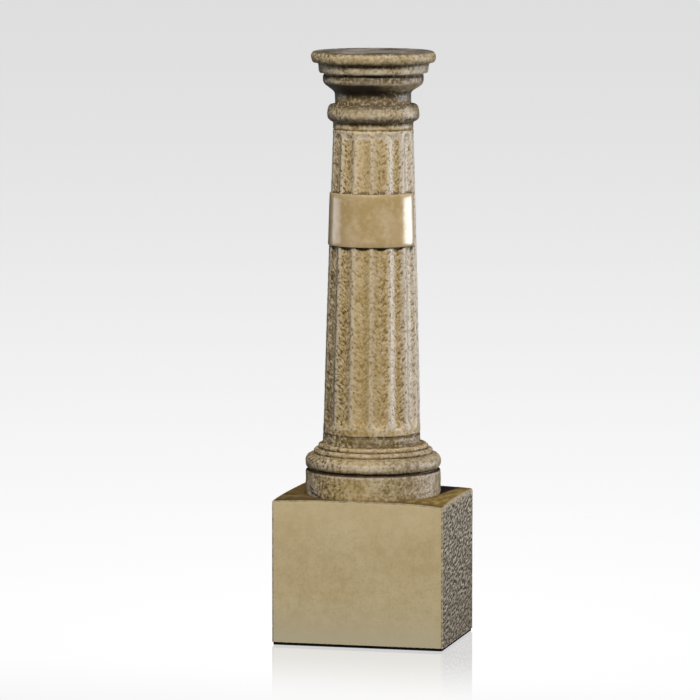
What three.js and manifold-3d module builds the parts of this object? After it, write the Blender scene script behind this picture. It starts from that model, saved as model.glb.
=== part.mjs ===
// A desk-size doric column, cast in one in stone-coloured resin, on a
// rectangular block plinth with a thin felt pad under it.
// Millimetres, +Z up. The origin is the centre of the pad's underside, and the
// plinth's smooth front faces -Y. Angles are counted from that front, towards +X.

import * as THREE from "three";
import { mergeVertices } from "three/addons/utils/BufferGeometryUtils.js";
import Module from "manifold-3d";

// Felt pad
const padThickness = 1.4;
const padInset = 0.5;
const padCornerRadius = 1.2;

// Shaft
const shaftHeight = 166.1;
const shaftFootRadius = 25.2;
const shaftNeckRadius = 20.6;
const shaftEntasis = 1.22;
const lineDepth = 0.5;
const lineWidth = 0.9;
const footLineHeight = 5.0;
const neckLineDrop = 3.8;

// The shaft leans a little: its foot stands to the left of the column's middle
const shaftFootOffset = 0.8;

// How far the shaft's ends are sunk in the base and in the capital
const joinDepth = 1.0;

// Base of the column, from the plinth upwards
const drumRadius = 34.9;
const drumHeight = 12.4;
const drumEdgeRound = 0.5;
const baseGrooveDepth = 1.7;
const baseGrooveHeight = 1.2;
const torusReach = 0.3;
const torusHeight = 7.5;
const torusWaistHeight = 3.4;
const torusFootInset = 1.4;
const torusShoulderInset = 4.0;
const lowerRollReach = 5.7;
const lowerRollHeight = 2.7;
const upperRollReach = 3.3;
const upperRollHeight = 2.6;
const rollRound = 1.2;

// Plinth block: the column's foot comes almost flush with its front
const plinthFrontMargin = 0.2;
const plinthSideMargin = 10.05;
const plinthHeight = 74.6;
const plinthEdgeRadius = 1.3;
const plinthFrontLeftDrop = 1.1;
const plinthFrontRightDrop = 2.0;
const plinthBackRightDrop = 1.0;
const plinthBackLeftDrop = 0.4;
const plinthFallPower = 2.2;

// Flutes
const fluteCount = 15;
const fluteDepth = 1.8;
const arrisWidth = 1.0;
const fluteFootHeight = 9.0;
const fluteFootRise = 4.2;
const fluteHeadDrop = 5.3;
const fluteHeadRise = 2.8;

// Blank band panel across the front of the shaft
const bandFootHeight = 102.7;
const bandHeight = 27.0;
const bandProud = 0.5;
const bandHalfAngle = 82;

// Capital, from the shaft upwards
const ringReach = 3.15;
const ringHeight = 8.8;
const ringWaistHeight = 3.7;
const ringShoulderInset = 1.55;
const neckInset = 1.1;
const neckHeight = 5.7;
const echinusReach = 6.5;
const echinusHeight = 6.3;
const echinusFaceHeight = 3.3;
const capitalGrooveDepth = 0.8;
const capitalGrooveHeight = 0.8;
const fasciaReach = 2.0;
const fasciaSplay = 0.5;
const fasciaHeight = 5.5;
const abacusReach = 3.6;
const abacusHeight = 6.1;
const abacusWaistHeight = 3.0;
const abacusFootInset = 1.7;
const abacusTopInset = 2.5;

// How finely the round forms are divided
const turnSteps = 44;
const fluteSteps = 6;
const arcSteps = 4;
const taperSteps = 4;
const bandSteps = 24;

// Radii that follow from the sizes above
const torusRadius = drumRadius + torusReach;
const ringRadius = shaftNeckRadius + ringReach;
const neckRadius = shaftNeckRadius - neckInset;
const echinusRadius = neckRadius + echinusReach;
const fasciaFootRadius = echinusRadius + fasciaReach;
const fasciaHeadRadius = fasciaFootRadius + fasciaSplay;
const abacusRadius = fasciaHeadRadius + abacusReach;

// Plinth sizes that follow from the column's foot
const plinthWidth = 2 * (torusRadius + plinthSideMargin);
const plinthDepth = 2 * (torusRadius + plinthFrontMargin);

// Heights that follow from the sizes above
const seatZ = padThickness + plinthHeight;
const shaftFootZ = seatZ + drumHeight + baseGrooveHeight + torusHeight + lowerRollHeight + upperRollHeight;
const shaftTopZ = shaftFootZ + shaftHeight;
const fluteFootZ = shaftFootZ + fluteFootHeight;
const fluteHeadZ = shaftTopZ - fluteHeadDrop;
const bandFootZ = shaftFootZ + bandFootHeight;

const wasm = await Module();
wasm.setup();

// Colours
const stone = { color: 0xa89468, roughness: 0.75, metalness: 0 };
const smoothStone = { color: 0xb8a77f, roughness: 0.6, metalness: 0 };
const blackFelt = { color: 0x16161a, roughness: 0.95, metalness: 0 };

// Helpers for solids

// A closed solid from a geometry, with its doubled points merged
function solidFrom(geometry) {
  const bare = geometry.clone();
  bare.deleteAttribute("normal");
  bare.deleteAttribute("uv");
  const merged = mergeVertices(bare);
  const corners = Array.from(merged.index.array);
  const triangles = [];
  for (let i = 0; i < corners.length; i += 3) {
    const [a, b, c] = corners.slice(i, i + 3);
    if (a !== b && b !== c && c !== a) triangles.push(a, b, c);
  }
  return new wasm.Manifold(new wasm.Mesh({
    numProp: 3,
    vertProperties: new Float32Array(merged.attributes.position.array),
    triVerts: new Uint32Array(triangles),
  }));
}

// The geometry of a solid
function geometryFrom(solid) {
  const mesh = solid.getMesh();
  const geometry = new THREE.BufferGeometry();
  geometry.setAttribute("position", new THREE.BufferAttribute(mesh.vertProperties, 3));
  geometry.setIndex(new THREE.BufferAttribute(mesh.triVerts, 1));
  geometry.computeVertexNormals();
  return geometry;
}

function namedMesh(name, geometry, finish) {
  const mesh = new THREE.Mesh(geometry, new THREE.MeshStandardMaterial(finish));
  mesh.name = name;
  return mesh;
}

// Helpers for turned outlines: points are (radius, height)

// An elliptical arc; at 0 degrees it points away from the axis, at 90 upwards
function arcPoints(centreRadius, centreZ, reach, rise, fromDegrees, toDegrees, steps = arcSteps) {
  const points = [];
  for (let i = 0; i <= steps; i += 1) {
    const angle = THREE.MathUtils.degToRad(fromDegrees + (toDegrees - fromDegrees) * i / steps);
    const radius = centreRadius + reach * Math.cos(angle);
    points.push(new THREE.Vector2(radius, centreZ + rise * Math.sin(angle)));
  }
  return points;
}

// A bulging moulding: round below its waist down to one radius, round above it to another
function bulgePoints(footZ, height, waistHeight, radius, footRadius, shoulderRadius) {
  const waistZ = footZ + waistHeight;
  const lower = arcPoints(footRadius, waistZ, radius - footRadius, waistHeight, -90, 0);
  const upper = arcPoints(shoulderRadius, waistZ, radius - shoulderRadius, height - waistHeight, 0, 90);
  return lower.concat(upper.slice(1));
}

// A half-round roll
function rollPoints(footZ, height, radius) {
  const halfHeight = height / 2;
  return arcPoints(radius - rollRound, footZ + halfHeight, rollRound, halfHeight, -90, 90);
}

// An outline turned about the column's axis, closed on the axis at both ends.
// The turn starts at the front, so a point at angle a lies at (r sin a, -r cos a).
function turned(outline, steps) {
  const first = outline[0];
  const last = outline[outline.length - 1];
  const closed = [new THREE.Vector2(0, first.y), ...outline, new THREE.Vector2(0, last.y)];
  const geometry = new THREE.LatheGeometry(closed, steps);
  geometry.rotateX(Math.PI / 2);
  return geometry;
}

// Felt pad: a rounded rectangle a little inside the block above it
function makePad() {
  const width = plinthWidth - 2 * padInset;
  const depth = plinthDepth - 2 * padInset;
  const x = width / 2 - padCornerRadius;
  const y = depth / 2 - padCornerRadius;
  const outline = new THREE.Shape();
  outline.absarc(x, y, padCornerRadius, 0, Math.PI / 2);
  outline.absarc(-x, y, padCornerRadius, Math.PI / 2, Math.PI);
  outline.absarc(-x, -y, padCornerRadius, Math.PI, 1.5 * Math.PI);
  outline.absarc(x, -y, padCornerRadius, 1.5 * Math.PI, 2 * Math.PI);
  return new THREE.ExtrudeGeometry(outline, {
    depth: padThickness,
    bevelEnabled: false,
    curveSegments: arcSteps,
  });
}

// Plinth: a block with softly rounded edges. Its top is flat where the drum
// stands and falls away a little towards the four corners, by a drop of its own
// at each.
const sideSteps = 8;
const wallSteps = 4;

// Grid lines across one side: close together at the rounded edges
function sideLines(size) {
  const half = size / 2;
  const edge = half - plinthEdgeRadius;
  const bend = half - plinthEdgeRadius * (1 - Math.SQRT1_2);
  return [-half, -bend, -edge, -edge / 2, 0, edge / 2, edge, bend, half];
}

function cornerFall(x, y) {
  const cornerReach = Math.hypot(plinthWidth / 2, plinthDepth / 2);
  const beyondSeat = Math.max(0, Math.hypot(x, y) - drumRadius);
  const rightShare = x / plinthWidth + 0.5;
  const frontDrop = THREE.MathUtils.lerp(plinthFrontLeftDrop, plinthFrontRightDrop, rightShare);
  const backDrop = THREE.MathUtils.lerp(plinthBackLeftDrop, plinthBackRightDrop, rightShare);
  const drop = THREE.MathUtils.lerp(frontDrop, backDrop, y / plinthDepth + 0.5);
  return drop * (beyondSeat / (cornerReach - drumRadius)) ** plinthFallPower;
}

function makePlinth() {
  const geometry = new THREE.BoxGeometry(2, 2, 2, sideSteps, sideSteps, wallSteps);
  const positions = geometry.attributes.position;
  const linesX = sideLines(plinthWidth);
  const linesY = sideLines(plinthDepth);
  const roundZ = plinthHeight - plinthEdgeRadius;
  const bendZ = plinthHeight - plinthEdgeRadius * (1 - Math.SQRT1_2);
  const linesZ = [0, plinthHeight / 2, roundZ, bendZ, plinthHeight];
  const point = new THREE.Vector3();
  const core = new THREE.Vector3();
  const lowest = new THREE.Vector3(linesX[2], linesY[2], 0);
  const highest = new THREE.Vector3(-linesX[2], -linesY[2], roundZ);
  for (let i = 0; i < positions.count; i += 1) {
    point.fromBufferAttribute(positions, i);
    point.x = linesX[Math.round((point.x + 1) / 2 * sideSteps)];
    point.y = linesY[Math.round((point.y + 1) / 2 * sideSteps)];
    point.z = linesZ[Math.round((point.z + 1) / 2 * wallSteps)];
    core.copy(point).clamp(lowest, highest);
    const outwards = point.clone().sub(core);
    if (outwards.lengthSq() > 0) {
      point.copy(core).addScaledVector(outwards.normalize(), plinthEdgeRadius);
    }
    const upperShare = Math.max(0, point.z / plinthHeight * 2 - 1);
    point.z += padThickness - cornerFall(point.x, point.y) * upperShare;
    positions.setXYZ(i, point.x, point.y, point.z);
  }
  geometry.deleteAttribute("normal");
  geometry.deleteAttribute("uv");
  return mergeVertices(geometry);
}

// Base: drum, sunk line, torus and two small rolls
function baseOutline() {
  const drumTopZ = seatZ + drumHeight;
  const torusFootZ = drumTopZ + baseGrooveHeight;
  const lowerRollZ = torusFootZ + torusHeight;
  const upperRollZ = lowerRollZ + lowerRollHeight;
  return [
    new THREE.Vector2(drumRadius, seatZ),
    new THREE.Vector2(drumRadius, drumTopZ - drumEdgeRound),
    new THREE.Vector2(drumRadius - drumEdgeRound, drumTopZ),
    new THREE.Vector2(drumRadius - baseGrooveDepth, drumTopZ),
    new THREE.Vector2(drumRadius - baseGrooveDepth, torusFootZ),
    ...bulgePoints(torusFootZ, torusHeight, torusWaistHeight, torusRadius,
      torusRadius - torusFootInset, torusRadius - torusShoulderInset),
    ...rollPoints(lowerRollZ, lowerRollHeight, shaftFootRadius + lowerRollReach),
    ...rollPoints(upperRollZ, upperRollHeight, shaftFootRadius + upperRollReach),
  ];
}

// Shaft: it tapers upwards with a slight swelling, and the flutes are hollowed
// into it, round at the head and the foot
function shaftRadius(z) {
  const share = THREE.MathUtils.clamp((z - shaftFootZ) / shaftHeight, 0, 1);
  return shaftFootRadius - (shaftFootRadius - shaftNeckRadius) * share ** shaftEntasis;
}

// How far the shaft's middle lies from the column's at a height
function shaftOffset(z) {
  const share = THREE.MathUtils.clamp((z - shaftFootZ) / shaftHeight, 0, 1);
  return -shaftFootOffset * (1 - share);
}

// A fine line cut round the shaft
function linePoints(z) {
  const halfWidth = lineWidth / 2;
  return [
    new THREE.Vector2(shaftRadius(z - halfWidth), z - halfWidth),
    new THREE.Vector2(shaftRadius(z) - lineDepth, z),
    new THREE.Vector2(shaftRadius(z + halfWidth), z + halfWidth),
  ];
}

// Heights where the shaft's outline needs a point between its two fine lines
function fluteHeights() {
  const footTopZ = fluteFootZ + fluteFootRise;
  const headLowZ = fluteHeadZ - fluteHeadRise;
  const heights = [];
  for (let i = 0; i <= arcSteps; i += 1) {
    const rise = 1 - Math.cos(Math.PI / 2 * i / arcSteps);
    heights.push(fluteFootZ + fluteFootRise * rise, fluteHeadZ - fluteHeadRise * rise);
  }
  for (let i = 1; i < taperSteps; i += 1) {
    heights.push(footTopZ + (headLowZ - footTopZ) * i / taperSteps);
  }
  return heights.sort((a, b) => a - b);
}

// How deep the flutes are at a height, at a place across one: -1 and 1 are its edges
function fluteHollow(across, z) {
  const footShort = Math.max(0, 1 - (z - fluteFootZ) / fluteFootRise);
  const headShort = Math.max(0, 1 - (fluteHeadZ - z) / fluteHeadRise);
  const fromMiddle = Math.hypot(across, footShort, headShort);
  const share = shaftRadius(z) / shaftFootRadius;
  return fluteDepth * share * Math.max(0, 1 - fromMiddle * fromMiddle);
}

function makeShaft() {
  const outline = [
    new THREE.Vector2(shaftFootRadius, shaftFootZ - joinDepth),
    ...linePoints(shaftFootZ + footLineHeight),
    ...fluteHeights().map((z) => new THREE.Vector2(shaftRadius(z), z)),
    ...linePoints(shaftTopZ - neckLineDrop),
    new THREE.Vector2(shaftNeckRadius, shaftTopZ + joinDepth),
  ];
  const geometry = turned(outline, fluteCount * fluteSteps);
  const positions = geometry.attributes.position;
  const pitch = 2 * Math.PI / fluteCount;
  for (let i = 0; i < positions.count; i += 1) {
    const z = positions.getZ(i);
    const radius = Math.hypot(positions.getX(i), positions.getY(i));
    const turn = Math.atan2(positions.getX(i), -positions.getY(i));
    const step = Math.round(turn / pitch * fluteSteps);
    const flute = Math.ceil(step / fluteSteps - 0.5);
    const stepInFlute = step - flute * fluteSteps;
    // Each flute's first and last points are the edges of the arrises beside it
    const halfArris = arrisWidth / 2 / Math.max(radius, neckRadius);
    const across = (2 * stepInFlute - 1) / (fluteSteps - 1);
    const angle = flute * pitch + across * (pitch / 2 - halfArris);
    const cut = radius > 0 ? fluteHollow(across, z) : 0;
    const reach = radius - cut;
    positions.setXYZ(i, shaftOffset(z) + reach * Math.sin(angle), -reach * Math.cos(angle), z);
  }
  return solidFrom(geometry);
}

// Band panel: a smooth curved plate that bridges the flutes across the front
function makeBand() {
  const halfAngle = THREE.MathUtils.degToRad(bandHalfAngle);
  const front = -Math.PI / 2;
  const innerRadius = shaftRadius(bandFootZ + bandHeight) - 2 * fluteDepth;
  const outerRadius = shaftRadius(bandFootZ) + bandProud;
  const outline = new THREE.Shape();
  outline.absarc(0, 0, outerRadius, front - halfAngle, front + halfAngle, false);
  outline.absarc(0, 0, innerRadius, front + halfAngle, front - halfAngle, true);
  const geometry = new THREE.ExtrudeGeometry(outline, {
    depth: bandHeight,
    bevelEnabled: false,
    curveSegments: bandSteps,
  });
  const positions = geometry.attributes.position;
  const middleRadius = (innerRadius + outerRadius) / 2;
  for (let i = 0; i < positions.count; i += 1) {
    const z = positions.getZ(i) + bandFootZ;
    const radius = Math.hypot(positions.getX(i), positions.getY(i));
    const scale = radius > middleRadius ? (shaftRadius(z) + bandProud) / radius : 1;
    positions.setXYZ(i, shaftOffset(z) + positions.getX(i) * scale, positions.getY(i) * scale, z);
  }
  return solidFrom(geometry);
}

// Capital: neck ring, neck, echinus, fascia and round abacus
function capitalOutline() {
  const neckZ = shaftTopZ + ringHeight;
  const echinusZ = neckZ + neckHeight;
  const faceZ = echinusZ + echinusHeight;
  const grooveZ = faceZ + echinusFaceHeight;
  const fasciaZ = grooveZ + capitalGrooveHeight;
  const abacusZ = fasciaZ + fasciaHeight;
  const echinus = [];
  for (let i = 0; i <= arcSteps + 1; i += 1) {
    const share = i / (arcSteps + 1);
    const swell = THREE.MathUtils.smoothstep(share, 0, 1);
    echinus.push(new THREE.Vector2(neckRadius + echinusReach * swell, echinusZ + echinusHeight * share));
  }
  return [
    ...bulgePoints(shaftTopZ, ringHeight, ringWaistHeight, ringRadius,
      shaftNeckRadius, ringRadius - ringShoulderInset),
    new THREE.Vector2(neckRadius, neckZ),
    ...echinus,
    new THREE.Vector2(echinusRadius, grooveZ),
    new THREE.Vector2(echinusRadius - capitalGrooveDepth, grooveZ),
    new THREE.Vector2(echinusRadius - capitalGrooveDepth, fasciaZ),
    new THREE.Vector2(fasciaFootRadius, fasciaZ),
    new THREE.Vector2(fasciaHeadRadius, abacusZ),
    ...bulgePoints(abacusZ, abacusHeight, abacusWaistHeight, abacusRadius,
      abacusRadius - abacusFootInset, abacusRadius - abacusTopInset),
  ];
}

function makeColumn() {
  const base = solidFrom(turned(baseOutline(), turnSteps));
  const capital = solidFrom(turned(capitalOutline(), turnSteps));
  const whole = makeShaft().add(makeBand()).add(base).add(capital);
  return geometryFrom(whole);
}

const doricColumn = new THREE.Group();
doricColumn.name = "doric_column";
doricColumn.add(namedMesh("felt_pad", makePad(), blackFelt));
doricColumn.add(namedMesh("plinth", makePlinth(), smoothStone));
doricColumn.add(namedMesh("column", makeColumn(), stone));

export default doricColumn;
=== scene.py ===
import math

import bmesh
import bpy
import numpy as np
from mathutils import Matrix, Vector, noise


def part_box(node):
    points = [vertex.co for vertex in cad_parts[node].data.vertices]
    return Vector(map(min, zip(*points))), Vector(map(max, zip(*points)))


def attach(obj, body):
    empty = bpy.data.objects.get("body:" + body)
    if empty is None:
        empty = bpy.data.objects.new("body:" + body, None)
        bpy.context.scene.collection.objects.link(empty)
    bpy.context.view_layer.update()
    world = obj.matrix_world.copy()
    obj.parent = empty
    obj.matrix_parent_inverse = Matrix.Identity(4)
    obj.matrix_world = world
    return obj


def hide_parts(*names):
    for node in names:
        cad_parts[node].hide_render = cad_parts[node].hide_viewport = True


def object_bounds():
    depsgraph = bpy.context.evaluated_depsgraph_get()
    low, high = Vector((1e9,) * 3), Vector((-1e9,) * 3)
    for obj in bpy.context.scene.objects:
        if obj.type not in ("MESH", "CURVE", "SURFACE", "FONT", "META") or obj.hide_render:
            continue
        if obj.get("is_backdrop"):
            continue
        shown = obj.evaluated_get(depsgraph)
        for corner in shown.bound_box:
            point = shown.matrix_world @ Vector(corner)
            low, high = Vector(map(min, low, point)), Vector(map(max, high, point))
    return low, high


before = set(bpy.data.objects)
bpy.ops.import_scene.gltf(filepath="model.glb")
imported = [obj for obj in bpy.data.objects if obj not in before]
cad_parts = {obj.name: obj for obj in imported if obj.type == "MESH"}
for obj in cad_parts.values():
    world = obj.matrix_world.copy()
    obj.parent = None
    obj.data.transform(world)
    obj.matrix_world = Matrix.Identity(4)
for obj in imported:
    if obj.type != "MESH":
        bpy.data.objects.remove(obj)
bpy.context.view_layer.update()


# The camera
# A long lens 2.7 m away, a little above the column's middle and round to the right of its front.
def place_round(azimuth, elevation):
    """The direction of a place round the object: 0 degrees is its front, 90 its right side."""
    level = math.cos(math.radians(elevation))
    turn = math.radians(azimuth)
    return Vector((math.sin(turn) * level, -math.cos(turn) * level, math.sin(math.radians(elevation))))


camera_azimuth = 13.92
camera_elevation = 6.31
camera_distance = 2.6872
aim_height = 0.1502
aim_left = 0.0120
lens_millimetres = 267.43

camera_right = place_round(camera_azimuth + 90, 0)
camera_aim = Vector((0, 0, aim_height)) - camera_right * aim_left
camera = bpy.data.objects.new("camera", bpy.data.cameras.new("camera"))
camera.data.lens = lens_millimetres
camera.data.clip_end = 60
camera_back = place_round(camera_azimuth, camera_elevation)
camera.location = camera_aim + camera_back * camera_distance
camera.rotation_euler = camera_back.to_track_quat("Z", "Y").to_euler()
bpy.context.scene.collection.objects.link(camera)
bpy.context.scene.camera = camera
bpy.context.scene.view_settings.view_transform = "Standard"


# The floor
# A seamless white board, brightest round the column and greyer far behind it. Its polish gives a
# weak reflection of the block that dies away within a hand's length.
def set_down(shape, name):
    """Makes a named object of a finished shape and puts it in the scene."""
    mesh = bpy.data.meshes.new(name)
    shape.to_mesh(mesh)
    shape.free()
    mesh.polygons.foreach_set("use_smooth", [True] * len(mesh.polygons))
    piece = bpy.data.objects.new(name, mesh)
    bpy.context.scene.collection.objects.link(piece)
    return piece


def start_finish(name):
    """A new finish: the material, its shader, and a function that adds a node and joins its inputs."""
    material = bpy.data.materials.new(name)
    material.use_nodes = True
    tree = material.node_tree

    def add(kind, inputs, **settings):
        node = tree.nodes.new("ShaderNode" + kind)
        for key, value in settings.items():
            setattr(node, key, value)
        for key, value in inputs.items():
            if isinstance(value, bpy.types.NodeSocket):
                tree.links.new(value, node.inputs[key])
            else:
                node.inputs[key].default_value = value
        return node.outputs

    return material, tree.nodes["Principled BSDF"], add


floor_reach = 16.0
floor_far_glow = 0.73
floor_near_glow = 0.29
floor_fade = 1.9
block_half_width = 0.0452
block_half_depth = 0.0354
floor_shade = 0.94
shade_start = -0.10
shade_end = -0.24
polish_reach = 0.165
polish = 0.38
polish_blur = 0.03
white = (1.0, 1.0, 1.0, 1.0)

floor_board = bmesh.new()
bmesh.ops.create_grid(floor_board, x_segments=2, y_segments=2, size=floor_reach)
floor = set_down(floor_board, "floor")
floor.visible_diffuse = False
floor.visible_glossy = False
floor_finish, _, add = start_finish("white board")
floor_place = add("TexCoord", {})["Object"]
floor_distance = add("VectorMath", {0: floor_place}, operation="LENGTH")["Value"]
floor_faded = add("Math", {0: floor_distance, 1: -1 / floor_fade}, operation="MULTIPLY")["Value"]
floor_near = add("Math", {0: floor_faded}, operation="EXPONENT")["Value"]
floor_glow = add(
    "Math", {0: floor_near, 1: floor_near_glow, 2: floor_far_glow}, operation="MULTIPLY_ADD"
)["Value"]
floor_axes = add("SeparateXYZ", {0: floor_place})
# The board is a little darker in front of the block
in_front = add("MapRange", {
    "Value": floor_axes["Y"], "From Min": shade_start, "From Max": shade_end,
    "To Min": 1.0, "To Max": floor_shade,
})["Result"]
floor_glow = add("Math", {0: floor_glow, 1: in_front}, operation="MULTIPLY")["Value"]
past_block = []
for axis, half_size in (("X", block_half_width), ("Y", block_half_depth)):
    distance = add("Math", {0: floor_axes[axis]}, operation="ABSOLUTE")["Value"]
    distance = add("Math", {0: distance, 1: half_size}, operation="SUBTRACT")["Value"]
    past_block.append(add("Math", {0: distance, 1: 0.0}, operation="MAXIMUM")["Value"])
beside_block = add("CombineXYZ", {0: past_block[0], 1: past_block[1]})["Vector"]
from_block = add("VectorMath", {0: beside_block}, operation="LENGTH")["Value"]
polish_share = add("MapRange", {
    "Value": from_block, "From Min": polish_reach, "From Max": 0.0, "To Min": 0.0, "To Max": polish,
}, interpolation_type="SMOOTHSTEP")["Result"]
board = add("Emission", {"Color": white, "Strength": floor_glow})["Emission"]
mirror = add("BsdfAnisotropic", {"Color": white, "Roughness": polish_blur})["BSDF"]
polished = add("MixShader", {0: polish_share, 1: board, 2: mirror})["Shader"]
floor_tree = floor_finish.node_tree
floor_tree.links.new(polished, floor_tree.nodes["Material Output"].inputs["Surface"])
floor.data.materials.append(floor_finish)
floor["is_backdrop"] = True

# A white wall stands all round, and only the floor's polish shows it
wall_radius = 7.0
wall_height = 6.0
wall_glow = 0.99

wall_sheet = bmesh.new()
bmesh.ops.create_cone(
    wall_sheet, cap_ends=False, segments=96, radius1=wall_radius, radius2=wall_radius, depth=wall_height,
)
bmesh.ops.translate(wall_sheet, vec=(0, 0, wall_height / 2), verts=wall_sheet.verts)
wall = set_down(wall_sheet, "wall")
wall.visible_camera = False
wall.visible_diffuse = False
wall.visible_shadow = False
wall_finish, _, add = start_finish("white wall")
wall_light = add("Emission", {"Color": white, "Strength": wall_glow})["Emission"]
wall_tree = wall_finish.node_tree
wall_tree.links.new(wall_light, wall_tree.nodes["Material Output"].inputs["Surface"])
wall.data.materials.append(wall_finish)
lit_by_wall = bpy.data.collections.new("lit by the wall")
lit_by_wall.objects.link(floor)
wall.light_linking.receiver_collection = lit_by_wall
wall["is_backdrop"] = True


# The light
# A softbox high in front, a bright low one on the right, a weaker one on the left and a faint one
# behind, in a dark room whose white floor throws some of the light back up.
def softbox(name, azimuth, elevation, distance, aim_height, width, height, watts):
    """A rectangular light at a place round the object, turned to a height on its axis."""
    lamp = bpy.data.lights.new(name, "AREA")
    lamp.shape = "RECTANGLE"
    lamp.size = width
    lamp.size_y = height
    lamp.energy = watts
    light = bpy.data.objects.new(name, lamp)
    direction = place_round(azimuth, elevation)
    light.location = Vector((0, 0, aim_height)) + direction * distance
    light.rotation_euler = direction.to_track_quat("Z", "Y").to_euler()
    bpy.context.scene.collection.objects.link(light)
    return light


softbox(
    "key softbox", azimuth=10, elevation=42, distance=1.8, aim_height=0.17,
    width=0.45, height=0.45, watts=39,
)
softbox(
    "right softbox", azimuth=118, elevation=0, distance=1.0, aim_height=0.14,
    width=0.62, height=0.32, watts=7.5,
)
softbox(
    "left softbox", azimuth=-97, elevation=0, distance=1.0, aim_height=0.14,
    width=0.60, height=0.28, watts=1.5,
)
back_light = softbox(
    "back softbox", azimuth=190, elevation=10, distance=1.4, aim_height=0.15,
    width=0.60, height=0.50, watts=3.0,
)
back_light.visible_glossy = False

glow_around = 0.01
glow_behind = 0.05
glow_below = 0.17

room = bpy.data.worlds.new("room")
room.use_nodes = True
bpy.context.scene.world = room
room_nodes = room.node_tree.nodes
room_links = room.node_tree.links
room_direction = room_nodes.new("ShaderNodeTexCoord")
room_axes = room_nodes.new("ShaderNodeSeparateXYZ")
room_back = room_nodes.new("ShaderNodeMapRange")
room_back.inputs["From Min"].default_value = 0.3
room_back.inputs["From Max"].default_value = 0.85
room_back.inputs["To Min"].default_value = glow_around
room_back.inputs["To Max"].default_value = glow_behind
room_below = room_nodes.new("ShaderNodeMapRange")
room_below.inputs["From Min"].default_value = -0.05
room_below.inputs["From Max"].default_value = -0.45
room_below.inputs["To Min"].default_value = 0.0
room_below.inputs["To Max"].default_value = glow_below
room_glow = room_nodes.new("ShaderNodeMath")
room_nodes["Background"].inputs["Color"].default_value = (1.0, 0.98, 0.94, 1.0)
room_links.new(room_direction.outputs["Generated"], room_axes.inputs[0])
room_links.new(room_axes.outputs["Y"], room_back.inputs["Value"])
room_links.new(room_axes.outputs["Z"], room_below.inputs["Value"])
room_links.new(room_back.outputs["Result"], room_glow.inputs[0])
room_links.new(room_below.outputs["Result"], room_glow.inputs[1])
room_links.new(room_glow.outputs["Value"], room_nodes["Background"].inputs["Strength"])


# The felt pad
# A sheet of black wool felt, cut a little smaller than the plinth and glued under it. The knife
# left its edge slightly uneven.
pad_corner = 0.0012
pad_waver = 0.00014
pad_wavers_per_metre = 420
pad_cuts = 70

pad_low, pad_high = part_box("felt_pad")
pad = bmesh.new()
bmesh.ops.create_cube(pad, size=1.0)
bmesh.ops.scale(pad, vec=pad_high - pad_low, verts=pad.verts)
bmesh.ops.translate(pad, vec=(pad_low + pad_high) / 2, verts=pad.verts)


def upright_edges(shape):
    """The edges of a shape that run up its sides."""
    return [edge for edge in shape.edges if abs(edge.verts[0].co.z - edge.verts[1].co.z) > 0.001]


bmesh.ops.bevel(
    pad, geom=upright_edges(pad), offset=pad_corner, offset_type="OFFSET", segments=5,
    profile=0.5, affect="EDGES", material=-1,
)
long_edges = [edge for edge in pad.edges if edge.calc_length() > 0.01]
bmesh.ops.subdivide_edges(pad, edges=long_edges, cuts=pad_cuts)
bmesh.ops.subdivide_edges(pad, edges=upright_edges(pad), cuts=2)
for vertex in pad.verts:
    waver = 0.5 + 0.5 * noise.noise(vertex.co * pad_wavers_per_metre)
    outwards = Vector((vertex.co.x / pad_high.x, vertex.co.y / pad_high.y, 0))
    vertex.co -= outwards * pad_waver * waver
felt_pad = set_down(pad, "felt_pad_cut")

felt, felt_shader, add = start_finish("black felt")
felt_place = add("TexCoord", {})["Object"]
fibres = add("TexNoise", {"Vector": felt_place, "Scale": 2600.0, "Detail": 3.0})["Fac"]
felt_patches = add("TexNoise", {"Vector": felt_place, "Scale": 90.0, "Detail": 2.0})["Fac"]
felt_tone = add("Math", {0: fibres, 1: felt_patches}, operation="MULTIPLY")["Value"]
felt_colour = add(
    "Mix", {0: felt_tone, 6: (0.002, 0.002, 0.002, 1.0), 7: (0.016, 0.015, 0.015, 1.0)},
    data_type="RGBA",
)[2]
felt_fuzz = add("Bump", {"Strength": 0.6, "Distance": 0.0002, "Height": fibres})["Normal"]
felt.node_tree.links.new(felt_colour, felt_shader.inputs["Base Color"])
felt.node_tree.links.new(felt_fuzz, felt_shader.inputs["Normal"])
felt_shader.inputs["Roughness"].default_value = 0.95
felt_shader.inputs["Specular IOR Level"].default_value = 0.1
felt_pad.data.materials.append(felt)
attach(felt_pad, "root")
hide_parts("felt_pad")


# The plinth
# A solid block cast in stone-coloured resin. Its front is rubbed smooth, and its sides and back
# keep the pitted skin of the mould. Stain lies on its top and in the pits, and the drum's shadow
# and the shade close round it are painted on the top.
plinth_edge = 0.0013
plinth_front_left_drop = 0.0011
plinth_front_right_drop = 0.0020
plinth_back_right_drop = 0.0010
plinth_back_left_drop = 0.0004
plinth_fall_power = 2.2
plinth_cuts = 133
drum_radius = 0.0349
skin_swell = 0.00006
skin_grain = 0.00026
front_swell = 0.00004
front_grain = 0.00001
swells_per_metre = 70
grains_along = 330
grains_across = 480
pit_depth = 0.00045
pit_reach = 0.55
pits_along = 260
pits_across = 380
pit_patches_per_metre = 120
level_share = 0.4


def near(low, high, value):
    """0 below low and 1 above high, with a smooth change between them."""
    share = min(1.0, max(0.0, (value - low) / (high - low)))
    return share * share * (3 - 2 * share)


def write_values(piece, name, values):
    """Keeps one number for each point of a piece, for its finish to read."""
    attribute = piece.data.attributes.new(name, "FLOAT", "POINT")
    attribute.data.foreach_set("value", np.asarray(values, np.float32))


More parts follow.
